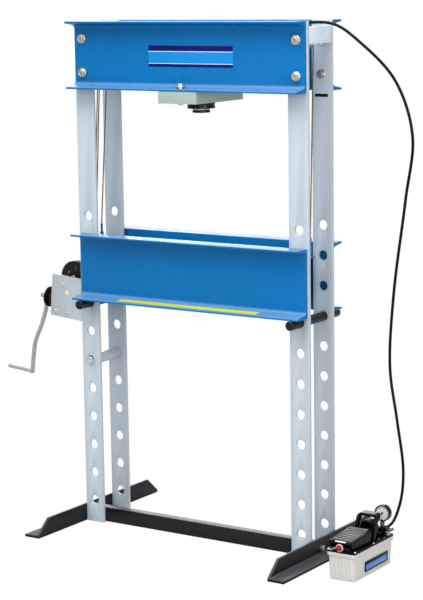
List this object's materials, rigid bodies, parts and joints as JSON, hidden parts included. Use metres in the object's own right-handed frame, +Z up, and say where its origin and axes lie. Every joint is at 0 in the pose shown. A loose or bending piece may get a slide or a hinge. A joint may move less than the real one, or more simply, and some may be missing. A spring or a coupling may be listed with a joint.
{
  "type": "hydraulic shop press",
  "caption": "H-frame hydraulic shop press: drilled flat-bar columns, channel head with hanging ram, pinned channel bed lifted by a rope winch, and a floor foot pump with hose.",
  "frame": {"origin": "on the floor, under the middle of the whole machine with its crank and hose", "axes": "+Z up, front is -Y with the treadle and pin ends, winch on the -X side, foot pump on the +X side"},
  "size_m": [1.6218, 0.713, 1.765],
  "materials": {
    "frame_paint": "satin silver grey paint",
    "beam_paint": "satin blue paint",
    "black_paint": "satin black paint",
    "zinc": "zinc plated",
    "steel": "bright ground steel",
    "black_oxide": "blackened steel, oiled",
    "rope_steel": "stranded wire rope",
    "carriage_paint": "satin grey-green paint",
    "winch_zinc": "zinc plated with visible spangle",
    "hose_rubber": "smooth black rubber",
    "tank_plastic": "satin off-white plastic",
    "window_plastic": "glossy blue plastic",
    "black_plastic": "satin black plastic",
    "red_plastic": "glossy red plastic",
    "gauge_metal": "bright gauge case"
  },
  "bodies": {
    "frame": {"column_bar_left_front": "frame_paint", "column_bar_left_rear": "frame_paint", "column_bar_right_front": "frame_paint", "column_bar_right_rear": "frame_paint", "head_channel_front": "beam_paint", "head_channel_rear": "beam_paint", "head_bolt_left_front_lower": "zinc", "head_bolt_left_front_upper": "zinc", "head_bolt_left_rear_lower": "zinc", "head_bolt_left_rear_upper": "zinc", "head_bolt_right_front_lower": "zinc", "head_bolt_right_front_upper": "zinc", "head_bolt_right_rear_lower": "zinc", "head_bolt_right_rear_upper": "zinc", "foot_left": "black_paint", "foot_right": "black_paint", "base_spreader": "black_paint", "foot_bolt_left": "zinc", "foot_bolt_right": "zinc", "sheave_bracket_left": "frame_paint", "sheave_bracket_right": "frame_paint", "ram_carriage": "carriage_paint", "carriage_bolt_front": "zinc", "carriage_bolt_rear": "zinc", "cylinder_body": "black_paint", "cylinder_ring": "black_oxide", "cylinder_fitting": "zinc", "column_tie_bolt": "zinc", "winch_plate": "winch_zinc", "winch_frame": "winch_zinc", "rope_left_lead": "rope_steel", "rope_left_fall": "rope_steel", "rope_right_lead": "rope_steel", "rope_right_fall": "rope_steel", "hose": "hose_rubber", "pump_tank": "tank_plastic", "pump_window": "window_plastic", "pump_body": "black_plastic", "pump_handle": "black_plastic", "pump_air_inlet": "red_plastic", "pump_gauge": "gauge_metal"},
    "bed": {"bed_channel_front": "beam_paint", "bed_channel_rear": "beam_paint", "bed_cross_plate_left": "beam_paint", "bed_cross_plate_right": "beam_paint"},
    "ram": {"ram_plunger": "steel", "ram_saddle": "black_oxide"},
    "left_pin": {"bed_pin_left": "black_oxide"},
    "right_pin": {"bed_pin_right": "black_oxide"},
    "left_sheave": {"sheave_left": "steel"},
    "right_sheave": {"sheave_right": "steel"},
    "drum": {"winch_wheel": "black_oxide", "winch_drum": "zinc"},
    "crank": {"winch_shaft": "steel", "crank_disc": "black_plastic", "crank_arm": "steel"},
    "grip": {"crank_grip": "steel"},
    "treadle": {"pump_treadle": "black_plastic"},
    "needle": {"gauge_needle": "black_plastic"},
    "release": {"release_lever": "black_plastic"}
  },
  "joints": [
    {"name": "bed_lift", "type": "slide", "parent": "frame", "child": "bed", "axis": [0, 0, 1], "range_m": [0, 0.31], "deforming": ["rope_left_fall", "rope_right_fall"]},
    {"name": "ram_stroke", "type": "slide", "parent": "frame", "child": "ram", "axis": [0, 0, -1], "range_m": [0, 0.1]},
    {"name": "left_pin_pull", "type": "slide", "parent": "frame", "child": "left_pin", "axis": [0, -1, 0], "range_m": [0, 0.25]},
    {"name": "right_pin_pull", "type": "slide", "parent": "frame", "child": "right_pin", "axis": [0, -1, 0], "range_m": [0, 0.25]},
    {"name": "left_sheave_spin", "type": "hinge", "parent": "frame", "child": "left_sheave", "pos_m": [-0.37898, 0, 1.7], "axis": [0, 1, 0], "range_deg": [-900, 10]},
    {"name": "right_sheave_spin", "type": "hinge", "parent": "frame", "child": "right_sheave", "pos_m": [0.43302, 0, 1.7], "axis": [0, 1, 0], "range_deg": [-900, 10]},
    {"name": "drum_spin", "type": "hinge", "parent": "frame", "child": "drum", "pos_m": [-0.49677, 0, 0.86786], "axis": [0, 1, 0], "range_deg": [-10, 370]},
    {"name": "crank_spin", "type": "hinge", "parent": "frame", "child": "crank", "pos_m": [-0.43975, -0.045, 0.77637], "axis": [-0.996, 0, 0.0898], "range_deg": [-60, 7200]},
    {"name": "grip_spin", "type": "hinge", "parent": "crank", "child": "grip", "pos_m": [-0.76439, -0.045, 0.51647], "axis": [-0.996, 0, 0.0898], "continuous": true},
    {"name": "treadle_rock", "type": "hinge", "parent": "frame", "child": "treadle", "pos_m": [0.68052, -0.15, 0.115], "axis": [1, 0, 0], "range_deg": [-4, 4]},
    {"name": "needle_swing", "type": "hinge", "parent": "frame", "child": "needle", "pos_m": [0.70102, 0.0077, 0.1675], "axis": [0, 1, 0], "range_deg": [0, 270]},
    {"name": "release_turn", "type": "hinge", "parent": "frame", "child": "release", "pos_m": [0.72502, 0.014, 0.112], "axis": [1, 0, 0], "range_deg": [0, 90]}
  ],
  "couplings": [
    {"joint": "left_sheave_spin", "follows": "bed_lift", "rad_per_m": -50},
    {"joint": "right_sheave_spin", "follows": "bed_lift", "rad_per_m": -50},
    {"joint": "drum_spin", "follows": "bed_lift", "rad_per_m": 20},
    {"joint": "crank_spin", "follows": "bed_lift", "rad_per_m": 400}
  ]
}
